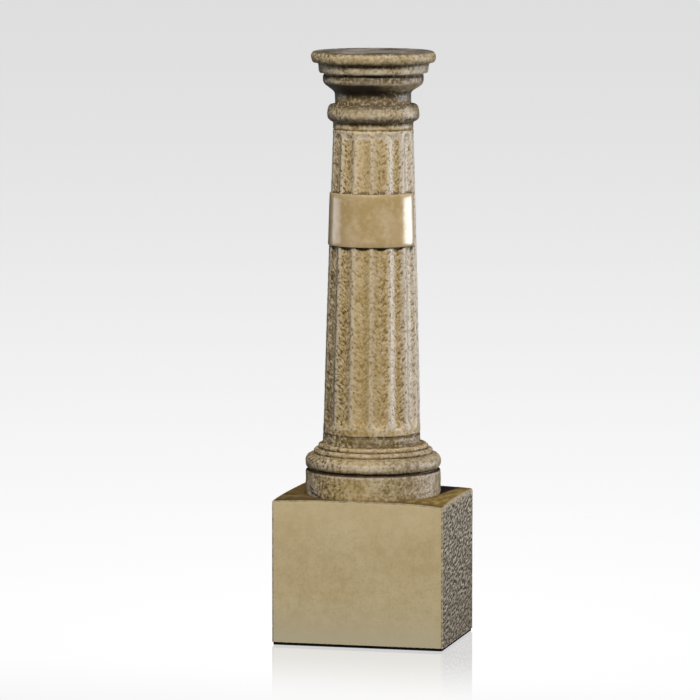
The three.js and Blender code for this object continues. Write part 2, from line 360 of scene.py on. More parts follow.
def creases(mesh, passes):
    """How far each point lies below the mean of the points round it, in tenths of a millimetre."""
    count = len(mesh.vertices)
    places = np.empty(count * 3)
    mesh.vertices.foreach_get("co", places)
    places = places.reshape(-1, 3)
    ends = np.empty(len(mesh.edges) * 2, int)
    mesh.edges.foreach_get("vertices", ends)
    starts, stops = ends[0::2], ends[1::2]
    outwards = np.empty(count * 3)
    mesh.vertex_normals.foreach_get("vector", outwards)
    shared = np.bincount(ends, minlength=count)
    mean = places.copy()
    for _ in range(passes):
        total = np.empty_like(mean)
        for axis in range(3):
            total[:, axis] = np.bincount(starts, mean[stops, axis], count)
            total[:, axis] += np.bincount(stops, mean[starts, axis], count)
        mean = total / shared[:, None]
    return ((mean - places) * outwards.reshape(-1, 3)).sum(1) * 10000


plinth_low, plinth_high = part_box("plinth")
plinth_size = plinth_high - plinth_low
corner_reach = math.hypot(plinth_high.x, plinth_high.y)
core_high = plinth_high - Vector((plinth_edge, plinth_edge, plinth_edge))
block = bmesh.new()
bmesh.ops.create_cube(block, size=2.0)
underside = [face for face in block.faces if face.normal.z < -0.5]
bmesh.ops.delete(block, geom=underside, context="FACES_ONLY")
bmesh.ops.subdivide_edges(block, edges=block.edges[:], cuts=plinth_cuts, use_grid_fill=True)
rim = [edge for edge in block.edges if edge.is_boundary]
bmesh.ops.holes_fill(block, edges=rim, sides=0)
plinth_front = []
plinth_rounding = []
plinth_below_top = []
for vertex in block.verts:
    # The lines of the grid lie closer together towards the edges
    share = Vector([0.5 * (c + math.sin(c * math.pi / 2)) for c in vertex.co])
    place = Vector((
        share.x * plinth_size.x / 2,
        share.y * plinth_size.y / 2,
        plinth_low.z + (share.z + 1) * plinth_size.z / 2,
    ))
    core = Vector((
        min(core_high.x, max(-core_high.x, place.x)),
        min(core_high.y, max(-core_high.y, place.y)),
        min(core_high.z, place.z),
    ))
    outwards = (place - core).normalized()
    place = core + outwards * plinth_edge
    front = near(0.90, 0.99, -outwards.y)
    rounding = 2 * (1 - max(c ** 2 for c in outwards))
    plinth_front.append(front)
    plinth_rounding.append(rounding)
    plinth_below_top.append(plinth_high.z - place.z)
    beyond_drum = max(0.0, math.hypot(place.x, place.y) - drum_radius) / (corner_reach - drum_radius)
    upper = max(0.0, (place.z - plinth_low.z) / plinth_size.z * 2 - 1)
    right = place.x / plinth_size.x + 0.5
    back = place.y / plinth_size.y + 0.5
    front_drop = plinth_front_left_drop + (plinth_front_right_drop - plinth_front_left_drop) * right
    back_drop = plinth_back_left_drop + (plinth_back_right_drop - plinth_back_left_drop) * right
    drop = front_drop + (back_drop - front_drop) * back
    place.z -= drop * beyond_drum ** plinth_fall_power * upper
    # The skin is always cut inwards from the mould's face, in grains and pits that slant
    upwards = near(0.5, 0.9, outwards.z)
    level = level_share * (place.x + place.y)
    along = level + place.z
    across = level - place.z
    swell = 0.5 + 0.5 * noise.noise(place * swells_per_metre)
    grain = 0.5 + 0.5 * noise.noise(Vector((along * grains_along, across * grains_across, 0)))
    nearest = noise.voronoi(Vector((along * pits_along, across * pits_across, 7)))[0][0]
    patch = near(-0.45, 0.15, noise.noise(place * pit_patches_per_metre + Vector((5, 0, 0))))
    pit = near(0.0, 1.0, 1 - nearest / pit_reach) * patch
    rough_cut = skin_swell * swell + skin_grain * grain + pit_depth * pit
    rough_cut *= (1 - 0.92 * near(0.05, 0.6, rounding)) * (1 - 0.75 * upwards)
    front_cut = front_swell * swell + front_grain * grain
    depth = front * front_cut + (1 - front) * rough_cut
    if vertex.co.z > -0.999:
        place -= outwards * depth
    vertex.co = place
bmesh.ops.recalc_face_normals(block, faces=block.faces[:])
plinth = set_down(block, "plinth_block")
write_values(plinth, "front", plinth_front)
write_values(plinth, "rounding", plinth_rounding)
write_values(plinth, "below top", plinth_below_top)
write_values(plinth, "crease", creases(plinth.data, 2))


def mix_colours(add, share, under, over):
    """Lays one colour over another. The share is a number or what another node gives."""
    return add("Mix", {0: share, 6: under, 7: over}, data_type="RGBA")[2]


def spread(add, value, low, high, least=0.0, most=1.0):
    """Turns the part of a value between low and high into a share between least and most."""
    inputs = {"Value": value, "From Min": low, "From Max": high, "To Min": least, "To Max": most}
    return add("MapRange", inputs)["Result"]


def sum_of(add, operation, first, second=0.0):
    """One sum: the result of a Math node."""
    return add("Math", {0: first, 1: second}, operation=operation)["Value"]


def product(add, *shares):
    """All the shares multiplied together."""
    result = shares[0]
    for share in shares[1:]:
        result = sum_of(add, "MULTIPLY", result, share)
    return result


plinth_stone, plinth_shader, add = start_finish("plinth stone")
place = add("TexCoord", {})["Object"]
front = add("Attribute", {}, attribute_name="front")["Fac"]
rounding = add("Attribute", {}, attribute_name="rounding")["Fac"]
below_top = add("Attribute", {}, attribute_name="below top")["Fac"]
crease = add("Attribute", {}, attribute_name="crease")["Fac"]
facing = add("SeparateXYZ", {0: add("NewGeometry", {})["Normal"]})["Z"]
clouds = add("TexNoise", {"Vector": place, "Scale": 34.0, "Detail": 5.0, "Roughness": 0.6})["Fac"]
mottle = add("TexNoise", {"Vector": place, "Scale": 240.0, "Detail": 4.0, "Roughness": 0.65})["Fac"]
specks = add("TexNoise", {"Vector": place, "Scale": 950.0, "Detail": 3.0, "Roughness": 0.7})["Fac"]
across, deep, height = add("SeparateXYZ", {0: place})
# The front is khaki, greyer at its foot and lighter at its head
khaki = mix_colours(
    add, spread(add, clouds, 0.3, 0.7), (0.435, 0.335, 0.165, 1.0), (0.530, 0.428, 0.243, 1.0),
)
khaki = mix_colours(add, spread(add, mottle, 0.42, 0.72, 0.0, 0.55), khaki, (0.56, 0.44, 0.275, 1.0))
khaki = mix_colours(add, spread(add, mottle, 0.55, 0.28, 0.0, 0.40), khaki, (0.40, 0.315, 0.155, 1.0))
khaki = mix_colours(add, spread(add, specks, 0.46, 0.34, 0.0, 0.40), khaki, (0.33, 0.25, 0.11, 1.0))
foot_grey = spread(add, height, 0.026, 0.004, 0.0, 0.8)
khaki = mix_colours(add, foot_grey, khaki, (0.475, 0.415, 0.275, 1.0))
head_light = spread(add, height, 0.050, 0.070, 0.0, 0.35)
khaki = mix_colours(add, head_light, khaki, (0.60, 0.48, 0.28, 1.0))
# The rough sides have pale grains and dark pits, and are dirtier towards the foot
side = mix_colours(
    add, spread(add, clouds, 0.35, 0.65), (0.20, 0.165, 0.108, 1.0), (0.31, 0.265, 0.200, 1.0),
)
low_dirt = spread(add, height, 0.062, 0.010)
side = mix_colours(add, product(add, low_dirt, 0.65), side, (0.15, 0.112, 0.070, 1.0))
side_flecks_along = 390
side_flecks_across = 570
level = product(add, sum_of(add, "ADD", across, deep), level_share)
slant = add("CombineXYZ", {
    0: product(add, sum_of(add, "ADD", level, height), side_flecks_along),
    1: product(add, sum_of(add, "SUBTRACT", level, height), side_flecks_across),
})["Vector"]
pits = add("TexNoise", {"Vector": slant, "Scale": 1.0, "Detail": 2.0, "Roughness": 0.55})["Fac"]
pale_grains = product(add, spread(add, pits, 0.52, 0.63), spread(add, low_dirt, 0.0, 1.0, 0.66, 0.33))
side = mix_colours(add, pale_grains, side, (0.67, 0.62, 0.54, 1.0))
side = mix_colours(add, spread(add, pits, 0.495, 0.41, 0.0, 0.85), side, (0.036, 0.026, 0.014, 1.0))
side = mix_colours(add, spread(add, crease, 0.10, 0.75, 0.0, 0.92), side, (0.045, 0.033, 0.020, 1.0))
side = mix_colours(add, spread(add, crease, -0.1, -0.8, 0.0, 0.6), side, (0.70, 0.66, 0.60, 1.0))
# The stain on the top was brushed on from front to back
stain = mix_colours(
    add, spread(add, mottle, 0.3, 0.7), (0.13, 0.078, 0.018, 1.0), (0.29, 0.195, 0.068, 1.0),
)
runs_sideways = 280
runs_lengthways = 95
runs = add("CombineXYZ", {
    0: product(add, across, runs_sideways), 1: product(add, deep, runs_lengthways),
})["Vector"]
brushed = add("TexNoise", {"Vector": runs, "Scale": 1.0, "Detail": 2.0, "Roughness": 0.55})["Fac"]
stain = mix_colours(add, spread(add, brushed, 0.50, 0.66, 0.0, 0.60), stain, (0.38, 0.27, 0.070, 1.0))
stain = mix_colours(add, spread(add, brushed, 0.50, 0.34, 0.0, 0.65), stain, (0.13, 0.072, 0.022, 1.0))
darker_to_left = spread(add, across, 0.012, -0.030, 0.0, 0.70)
stain = mix_colours(add, darker_to_left, stain, (0.072, 0.042, 0.009, 1.0))
front_dirt = spread(add, deep, -0.0285, -0.0335, 0.0, 0.75)
stain = mix_colours(add, front_dirt, stain, (0.075, 0.045, 0.012, 1.0))
# A grey smear of filler left of the drum, painted shade close round the drum, and the drum's shadow
# painted black on its right, with a softer painted edge
smear_place = sum_of(add, "ABSOLUTE", sum_of(add, "ADD", deep, 0.0215))
smear = product(
    add, spread(add, smear_place, 0.0032, 0.0008), spread(add, across, -0.018, -0.024),
    spread(add, mottle, 0.30, 0.45, 0.2, 0.75),
)
stain = mix_colours(add, smear, stain, (0.20, 0.145, 0.09, 1.0))
beside_drum = sum_of(add, "ADD", product(add, deep, -0.130), across)
level_place = add("CombineXYZ", {0: across, 1: deep})["Vector"]
from_axis = add("VectorMath", {0: level_place}, operation="LENGTH")["Value"]
# Painted shade where the drum meets the top
painted_shade_by_drum = spread(add, from_axis, drum_radius + 0.0015, drum_radius + 0.0003, 0.0, 0.75)
stain = mix_colours(add, painted_shade_by_drum, stain, (0.055, 0.034, 0.010, 1.0))
painted_shadow_fringe = product(
    add, spread(add, beside_drum, 0.0395, 0.0350, 0.0, 0.60), spread(add, deep, -0.012, 0.004),
)
stain = mix_colours(add, painted_shadow_fringe, stain, (0.13, 0.072, 0.020, 1.0))
# The drum's cast shadow on the top, painted in black
painted_drum_shadow = product(
    add, spread(add, beside_drum, 0.0356, 0.0343), spread(add, deep, -0.009, -0.003),
    spread(add, across, 0.0, 0.02),
)
stain = mix_colours(add, painted_drum_shadow, stain, (0.012, 0.010, 0.009, 1.0))
# The edges are worn pale
worn_head = product(
    add, spread(add, below_top, 0.0034, 0.0018), spread(add, pits, 0.40, 0.52, 0.35, 0.85),
)
side = mix_colours(add, worn_head, side, (0.52, 0.44, 0.33, 1.0))
golden_edge = spread(add, across, 0.0420, 0.0440, 0.0, 0.30)
khaki = mix_colours(add, golden_edge, khaki, (0.46, 0.37, 0.135, 1.0))
body = mix_colours(add, front, side, khaki)
body = mix_colours(add, spread(add, facing, 0.6, 0.95), body, stain)
rim_wear = product(
    add, spread(add, rounding, 0.15, 0.8), spread(add, specks, 0.33, 0.55),
    spread(add, facing, 0.12, 0.02, 0.0, 0.45),
)
body = mix_colours(add, rim_wear, body, (0.50, 0.41, 0.25, 1.0))
rim_stain = product(add, spread(add, facing, 0.05, 0.40), spread(add, rounding, 0.05, 0.35), 0.50)
body = mix_colours(add, rim_stain, body, (0.25, 0.175, 0.065, 1.0))
skin = product(add, pits, sum_of(add, "SUBTRACT", 1.0, front))
skin_bump = add("Bump", {"Strength": 0.55, "Distance": 0.0005, "Height": skin})["Normal"]
plinth_links = plinth_stone.node_tree.links
plinth_links.new(body, plinth_shader.inputs["Base Color"])
plinth_links.new(spread(add, front, 0.0, 1.0, 0.75, 0.55), plinth_shader.inputs["Roughness"])
plinth_links.new(skin_bump, plinth_shader.inputs["Normal"])
plinth_shader.inputs["Specular IOR Level"].default_value = 0.15
plinth.data.materials.append(plinth_stone)
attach(plinth, "root")
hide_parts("plinth")


# The column
# One casting in the same resin: drum, torus and rolls, a fluted shaft with a blank smooth band, and
# the ring, echinus and round abacus of the capital. Slanting chisel strokes run into every flute.
# It was stained brown, wiped back so that the high edges are pale, and sealed. Its finish also paints
# shade under the mouldings and in the creases, and highlights on the side facing the right light.
column_sink = 0.0006
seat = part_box("column")[0].z
drum_top = seat + 0.0124
drum_blunting = 0.0005
groove_radius = 0.0332
torus_foot = drum_top + 0.0012
torus_waist = torus_foot + 0.0034
torus_head = torus_foot + 0.0075
torus_radius = 0.0352
torus_lower_reach = 0.0014
torus_upper_reach = 0.0040
lower_roll = torus_foot + 0.0073
lower_roll_radius = 0.0297
lower_roll_rise = 0.00135
upper_roll = lower_roll + 0.0026
upper_roll_radius = 0.0273
upper_roll_rise = 0.0013
roll_reach = 0.0012
shaft_foot = upper_roll + 0.0029
shaft_top = shaft_foot + 0.1661
shaft_foot_radius = 0.0252
shaft_neck_radius = 0.0206
shaft_swell = 1.22
shaft_foot_offset = 0.0008
foot_line = shaft_foot + 0.0050
neck_line = shaft_top - 0.0038
line_width = 0.0009
line_depth = 0.0005
flute_count = 15
flute_depth = 0.0018
arris_width = 0.0010
flute_foot = shaft_foot + 0.0090
flute_foot_rise = 0.0042
flute_head = shaft_top - 0.0053
flute_head_rise = 0.0028
band_foot = shaft_foot + 0.1027
band_head = band_foot + 0.0270
band_proud = 0.0005
band_half_angle = math.radians(82)
band_edge = 0.0003
band_step = 0.00005
ring_waist = shaft_top + 0.0037
ring_head = shaft_top + 0.0088
ring_radius = 0.02375
ring_lower_reach = 0.00315
ring_upper_reach = 0.00155
neck_head = ring_head + 0.0057
neck_radius = 0.0195
echinus_head = neck_head + 0.0063
echinus_radius = 0.0260
echinus_pieces = 9
face_head = echinus_head + 0.0033
step_radius = 0.0252
fascia_foot = face_head + 0.0008
fascia_foot_radius = 0.0280
fascia_head_radius = 0.0285
abacus_foot = fascia_foot + 0.0055
abacus_waist = abacus_foot + 0.0030
abacus_head = abacus_foot + 0.0061
abacus_radius = 0.0321
abacus_lower_reach = 0.0017
abacus_upper_reach = 0.0025
turn_steps = 300

turning = bmesh.new()
drawn = [turning.verts.new((0, 0, seat - column_sink))]


def draw_point(radius, height):
    """Carries the outline on to one more point."""
    drawn.append(turning.verts.new((radius, 0, height)))
    turning.edges.new(drawn[-2:])


def draw_straight(radius, height, pieces):
    """Draws a straight stretch of the outline, in short pieces."""
    start = drawn[-1].co.copy()
    end = Vector((radius, 0, height))
    for i in range(1, pieces + 1):
        place = start.lerp(end, i / pieces)
        draw_point(place.x, place.z)


def draw_round(middle_radius, middle_height, reach, rise, start, end, pieces):
    """Draws a part of an oval, from one angle to another: 0 points outwards, 90 up."""
    for i in range(1, pieces + 1):
        angle = math.radians(start + (end - start) * i / pieces)
        draw_point(middle_radius + reach * math.cos(angle), middle_height + rise * math.sin(angle))


def draw_moulding(radius, foot, waist, head, lower_reach, upper_reach, lower_pieces, upper_pieces):
    """Draws a rounded moulding: a quarter oval out to its waist, and one back in above it."""
    draw_round(radius - lower_reach, waist, lower_reach, waist - foot, -90, 0, lower_pieces)
    draw_round(radius - upper_reach, waist, upper_reach, head - waist, 0, 90, upper_pieces)


def shaft_radius(height):
    """The shaft narrows upwards, a little faster towards its neck."""
    share = min(1.0, max(0.0, (height - shaft_foot) / (shaft_top - shaft_foot)))
    return shaft_foot_radius - (shaft_foot_radius - shaft_neck_radius) * share ** shaft_swell


def draw_shaft(height, pieces):
    """Draws the shaft's side up to a height."""
    start = drawn[-1].co.z
    for i in range(1, pieces + 1):
        level = start + (height - start) * i / pieces
        draw_point(shaft_radius(level), level)


def draw_line(height):
    """Draws the small groove of a line cut round the shaft."""
    draw_straight(shaft_radius(height) - line_depth, height, 2)
    draw_straight(shaft_radius(height + line_width / 2), height + line_width / 2, 2)


# The drum, the torus and the two rolls
draw_straight(drum_radius, seat - column_sink, 3)
draw_straight(drum_radius, seat, 1)
draw_straight(drum_radius, drum_top - drum_blunting, 15)
draw_round(
    drum_radius - drum_blunting, drum_top - drum_blunting, drum_blunting, drum_blunting, 0, 90, 3,
)
draw_straight(groove_radius, drum_top, 2)
draw_straight(groove_radius, torus_foot, 2)
draw_straight(torus_radius - torus_lower_reach, torus_foot, 1)
draw_moulding(
    torus_radius, torus_foot, torus_waist, torus_head, torus_lower_reach, torus_upper_reach, 7, 9,
)
draw_straight(lower_roll_radius, lower_roll, 1)
draw_round(
    lower_roll_radius, lower_roll + lower_roll_rise, roll_reach, lower_roll_rise, -90, 90, 9,
)
draw_straight(upper_roll_radius, upper_roll, 2)
draw_round(
    upper_roll_radius, upper_roll + upper_roll_rise, roll_reach, upper_roll_rise, -90, 90, 9,
)
# The shaft, with close points at the edges of the band
draw_straight(shaft_foot_radius, shaft_foot, 2)
draw_shaft(foot_line - line_width / 2, 4)
draw_line(foot_line)
draw_shaft(band_foot - band_step, 104)
draw_shaft(band_foot + band_step, 1)
draw_shaft(band_foot + band_edge, 1)
draw_shaft(band_head - band_edge, 10)
draw_shaft(band_head - band_step, 1)
draw_shaft(band_head + band_step, 1)
draw_shaft(neck_line - line_width / 2, 36)
draw_line(neck_line)
draw_shaft(shaft_top, 3)
# The capital
draw_moulding(
    ring_radius, shaft_top, ring_waist, ring_head, ring_lower_reach, ring_upper_reach, 8, 8,
)
draw_straight(neck_radius, ring_head, 3)
draw_straight(neck_radius, neck_head, 5)
for i in range(1, echinus_pieces + 1):
    share = i / echinus_pieces
    draw_point(
        neck_radius + (echinus_radius - neck_radius) * near(0, 1, share),
        neck_head + (echinus_head - neck_head) * share,
    )
draw_straight(echinus_radius, face_head, 4)
draw_straight(step_radius, face_head, 1)
draw_straight(step_radius, fascia_foot, 2)
draw_straight(fascia_foot_radius, fascia_foot, 3)
draw_straight(fascia_head_radius, abacus_foot, 6)
draw_straight(abacus_radius - abacus_lower_reach, abacus_foot, 2)
draw_moulding(
    abacus_radius, abacus_foot, abacus_waist, abacus_head, abacus_lower_reach, abacus_upper_reach, 6, 8,
)
draw_straight(0, abacus_head, 8)

bmesh.ops.spin(
    turning, geom=turning.verts[:] + turning.edges[:], cent=(0, 0, 0), axis=(0, 0, 1), dvec=(0, 0, 0),
    angle=2 * math.pi, steps=turn_steps, use_merge=True, use_normal_flip=False, use_duplicate=False,
)
bmesh.ops.remove_doubles(turning, verts=turning.verts[:], dist=0.000001)
bmesh.ops.recalc_face_normals(turning, faces=turning.faces[:])


def flute_hollow(across, height):
    """How deep a flute is at a height. Across is -1 and 1 at the flute's two edges."""
    foot_short = max(0.0, 1 - (height - flute_foot) / flute_foot_rise)
    head_short = max(0.0, 1 - (flute_head - height) / flute_head_rise)
    share = max(0.0, 1 - across ** 2 - foot_short ** 2 - head_short ** 2)
    return flute_depth * shaft_radius(height) / shaft_foot_radius * share


flute_pitch = 2 * math.pi / flute_count
band_blunt_rim = 0.0002
band_blunting = 0.00012
hollows = []
bands = []
for vertex in turning.verts:
    radius = math.hypot(vertex.co.x, vertex.co.y)
    turn = math.atan2(vertex.co.x, -vertex.co.y)
    height = vertex.co.z
    hollow = 0.0
    band = 0.0
    if foot_line + line_width < height < neck_line - line_width:
        if band_foot < height < band_head and abs(turn) < band_half_angle:
            band = 1.0
            at_edge = min(height - band_foot, band_head - height) < band_blunt_rim
            new_radius = shaft_radius(height) + band_proud - (band_blunting if at_edge else 0.0)
        else:
            half_arris = arris_width / 2 / radius
            from_middle = turn - flute_pitch * round(turn / flute_pitch)
            across = min(1.0, abs(from_middle) / (flute_pitch / 2 - half_arris))
            cut = flute_hollow(across, height)
            hollow = cut / flute_depth
            new_radius = radius - cut
        vertex.co.x *= new_radius / radius
        vertex.co.y *= new_radius / radius
    hollows.append(hollow)
    bands.append(band)

# The mouldings' corners were blunt in the mould
mouldings = [v for v in turning.verts if seat + 0.001 < v.co.z < shaft_foot or v.co.z > shaft_top]
for _ in range(4):
    bmesh.ops.smooth_vert(
        turning, verts=mouldings, factor=0.5, use_axis_x=True, use_axis_y=True, use_axis_z=True,
    )
turning.normal_update()

column_swells_per_metre = 190
column_grains_per_metre = 520
moulding_swell = 0.00034
moulding_grain = 0.00014
flute_swell = 0.00005
flute_grain = 0.00010
top_grain = 0.00012
most_proud = -0.00028
most_proud_at_rim = -0.00014
stroke_radius = 0.023
stroke_slant = 0.7071
strokes_along = 340
strokes_beside = 560
stroke_shift = 3.7
stroke_depth = 0.00014
band_wave = 0.00008
band_swell = 0.00004
band_waves_round = 2.2
band_waves_per_metre = 45
line_wear = 0.0002
line_dashes = 11
filler_middle = Vector((-0.0286, -0.0200, seat + 0.001))
filler_core = 0.004
filler_reach = 0.011
filler_thickness = 0.0002
filler_lump = 0.0005
filler_lumps_per_metre = 300
lean_reach = 0.0015
fillers = []
moved = []
for vertex, hollow, band in zip(turning.verts, hollows, bands):
    place = vertex.co
    radius = math.hypot(place.x, place.y)
    turn = math.atan2(place.x, -place.y)
    swell = noise.noise(place * column_swells_per_metre)
    grain = noise.noise(place * column_grains_per_metre)
    # Strokes slant down from the arrises into the middle of each flute
    side = turn / flute_pitch
    across = abs(side - round(side)) * flute_pitch * stroke_radius
    along = (across + place.z) * stroke_slant
    beside = (across - place.z) * stroke_slant
    half_flute = math.floor(side * 2) * stroke_shift
    stroke = noise.noise(Vector((along * strokes_along, beside * strokes_beside, half_flute)))
    in_flute = min(1.0, hollow * 3)
    cut = moulding_swell * swell + moulding_grain * grain
    if foot_line < place.z < neck_line:
        cut = flute_swell * swell + flute_grain * grain + stroke_depth * stroke * in_flute
    wide = noise.noise(Vector((turn * band_waves_round, place.z * band_waves_per_metre, 4)))
    cut = cut * (1 - band) + (band_wave * wide + band_swell * swell) * band
    cut = max(cut, most_proud_at_rim if radius > groove_radius + 0.0003 else most_proud)
    if place.z > abacus_head - 0.0003:
        cut = top_grain * (1 + grain)
    for line in (foot_line, neck_line):
        at_line = near(line_width, 0, abs(place.z - line))
        dash = noise.noise(Vector((turn * line_dashes, line * 50, 1)))
        cut += line_wear * at_line * near(-0.3, 0.4, dash)
    # Filler pressed into the joint with the plinth stands out in lumps on the left
    filler = 0.0
    if place.z > seat - 0.0001:
        filler = near(filler_reach, filler_core, (place - filler_middle).length)
    lump = max(0.0, noise.noise(place * filler_lumps_per_metre + Vector((0, 9, 0))))
    cut -= filler * (filler_thickness + filler_lump * lump)
    fillers.append(filler)
    place = place - vertex.normal * cut
    # The shaft leans a little
    if place.z > shaft_foot - 0.0005 and radius < shaft_foot_radius + lean_reach:
        lean = min(1.0, max(0.0, (shaft_top - place.z) / (shaft_top - shaft_foot)))
        lean *= near(shaft_foot_radius + lean_reach, shaft_foot_radius + 0.0005, radius)
        place.x -= shaft_foot_offset * lean
    moved.append(place)
for vertex, place in zip(turning.verts, moved):
    vertex.co = place

column = set_down(turning, "column_casting")
write_values(column, "hollow", hollows)
write_values(column, "band", bands)
write_values(column, "filler", fillers)
small_creases = creases(column.data, 2)
folds = creases(column.data, 14)
# The flutes and the drum's foot are stained by where they are, not by their creases
for vertex in column.data.vertices:
    height = vertex.co.z
    in_shaft = foot_line + 0.002 < height < neck_line - 0.002
    by_band = min(abs(height - band_foot), abs(height - band_head)) < 0.0015
    if height < seat + 0.003 or (in_shaft and not by_band):
        small_creases[vertex.index] = 0.0
        folds[vertex.index] = 0.0
write_values(column, "crease", small_creases)
write_values(column, "fold", folds)

column_stone, column_shader, add = start_finish("column stone")
place = add("TexCoord", {})["Object"]
hollow = add("Attribute", {}, attribute_name="hollow")["Fac"]
band = add("Attribute", {}, attribute_name="band")["Fac"]
filler = add("Attribute", {}, attribute_name="filler")["Fac"]
crease = add("Attribute", {}, attribute_name="crease")["Fac"]
fold = add("Attribute", {}, attribute_name="fold")["Fac"]
axes = add("SeparateXYZ", {0: place})
height = axes["Z"]
facing = add("SeparateXYZ", {0: add("NewGeometry", {})["Normal"]})["Z"]

# The flecks follow the chisel strokes in the flutes
flute_width = 0.0096
flecks_along = 520
flecks_beside = 900
turn = sum_of(add, "ARCTAN2", axes["X"], product(add, axes["Y"], -1.0))
flute = product(add, turn, 1 / flute_pitch)
across = product(add, sum_of(add, "PINGPONG", flute, 0.5), flute_width)
along = product(add, sum_of(add, "ADD", across, height), stroke_slant * flecks_along)
beside = product(add, sum_of(add, "SUBTRACT", across, height), stroke_slant * flecks_beside)
half_flute = product(add, sum_of(add, "FLOOR", product(add, flute, 2.0)), stroke_shift)
stroke_place = add("CombineXYZ", {0: along, 1: beside, 2: half_flute})["Vector"]
strokes = add("TexNoise", {"Vector": stroke_place, "Scale": 1.0, "Detail": 2.0, "Roughness": 0.55})["Fac"]
clouds = add("TexNoise", {"Vector": place, "Scale": 75.0, "Detail": 4.0, "Roughness": 0.6})["Fac"]
mottle = add("TexNoise", {"Vector": place, "Scale": 330.0, "Detail": 3.0, "Roughness": 0.6})["Fac"]
specks = add("TexNoise", {"Vector": place, "Scale": 620.0, "Detail": 3.0, "Roughness": 0.65})["Fac"]
in_flute = spread(add, hollow, 0.03, 0.25, 0.0, 0.75)
texture = add("Mix", {0: in_flute, 2: specks, 3: strokes})[0]
bare = sum_of(add, "SUBTRACT", 1.0, band)


def at_heights(add, height, low, high, fade):
    """1 between two heights and 0 beyond them, fading over a short way."""
    above = spread(add, height, low - fade, low + fade)
    below = spread(add, height, high + fade, high - fade)
    return product(add, above, below)


# Bare tan stone, paler upwards, and a tone of its own for each moulding
tan = mix_colours(
    add, spread(add, clouds, 0.36, 0.64), (0.39, 0.270, 0.105, 1.0), (0.49, 0.365, 0.180, 1.0),
)
paler_upwards = spread(add, height, shaft_foot + 0.02, shaft_top, 0.0, 0.45)
body = mix_colours(add, paler_upwards, tan, (0.53, 0.405, 0.235, 1.0))
tones = (
    (seat, drum_top, 0.85, (0.40, 0.290, 0.125, 1.0)),
    (drum_top - 0.0014, drum_top, 0.70, (0.52, 0.43, 0.30, 1.0)),
    (torus_foot, lower_roll, 0.85, (0.345, 0.235, 0.088, 1.0)),
    # Pale on the torus's waist: wear, with a painted highlight
    (torus_foot + 0.0018, torus_foot + 0.0048, 0.75, (0.60, 0.49, 0.33, 1.0)),
    (lower_roll, shaft_foot, 0.80, (0.37, 0.265, 0.120, 1.0)),
    (shaft_foot, foot_line, 0.85, (0.27, 0.185, 0.075, 1.0)),
    (shaft_top, ring_head, 0.85, (0.34, 0.265, 0.150, 1.0)),
    (ring_head - 0.0028, ring_head + 0.0006, 0.60, (0.19, 0.135, 0.060, 1.0)),
    (ring_head + 0.0002, neck_head, 0.85, (0.24, 0.175, 0.085, 1.0)),
    # The face is stained dark and carries painted shade from the fascia above
    (echinus_head, face_head, 0.90, (0.145, 0.104, 0.046, 1.0)),
    (fascia_foot, abacus_foot, 0.85, (0.44, 0.370, 0.250, 1.0)),
    (abacus_foot, abacus_head, 0.90, (0.33, 0.235, 0.095, 1.0)),
)
for low, high, share, tone in tones:
    zone = at_heights(add, height, low, high, 0.0004)
    body = mix_colours(add, product(add, zone, share), body, tone)
on_flutes = at_heights(add, height, flute_foot, flute_head, 0.001)
moulded = sum_of(add, "SUBTRACT", 1.0, on_flutes)
ochre = product(add, spread(add, clouds, 0.50, 0.38, 0.0, 0.55), moulded)
body = mix_colours(add, ochre, body, (0.23, 0.148, 0.042, 1.0))
pale = product(add, spread(add, clouds, 0.53, 0.64, 0.0, 0.45), moulded)
body = mix_colours(add, pale, body, (0.55, 0.47, 0.36, 1.0))
from_middle = sum_of(add, "ABSOLUTE", axes["X"])
aside = spread(add, from_middle, 0.004, 0.017)
# Each flute's right wall, which faces away from the right light, is darker: stain with painted shade
flute_place = sum_of(add, "SUBTRACT", sum_of(add, "FRACT", sum_of(add, "ADD", flute, 0.5)), 0.5)
right_wall = spread(add, flute_place, -0.30, 0.30)
flute_stain_and_shade = product(
    add, spread(add, hollow, 0.15, 0.70), spread(add, right_wall, 0.0, 1.0, 0.12, 0.80),
    spread(add, aside, 0.0, 1.0, 0.65, 1.0),
)
body = mix_colours(add, flute_stain_and_shade, body, (0.27, 0.175, 0.048, 1.0))
# The worn arrises are pale, and the pale reaches further onto each left wall, which faces the right light:
# a painted highlight
arris_reach = spread(add, right_wall, 0.6, 0.0, 0.22, 0.60)
worn_arris_and_highlight = product(
    add, spread(add, sum_of(add, "DIVIDE", hollow, arris_reach), 1.0, 0.1), on_flutes,
    spread(add, mottle, 0.36, 0.56, 0.3, 0.8), spread(add, aside, 0.0, 1.0, 0.45, 1.0),
)
body = mix_colours(add, worn_arris_and_highlight, body, (0.59, 0.52, 0.44, 1.0))
# Painted light at the flute heads, lifting the shade on their downward slopes
painted_light_at_flute_heads = product(
    add, at_heights(add, height, flute_head - flute_head_rise, flute_head, 0.0006),
    spread(add, hollow, 0.02, 0.15), 0.85,
)
body = mix_colours(add, painted_light_at_flute_heads, body, (0.68, 0.58, 0.44, 1.0))
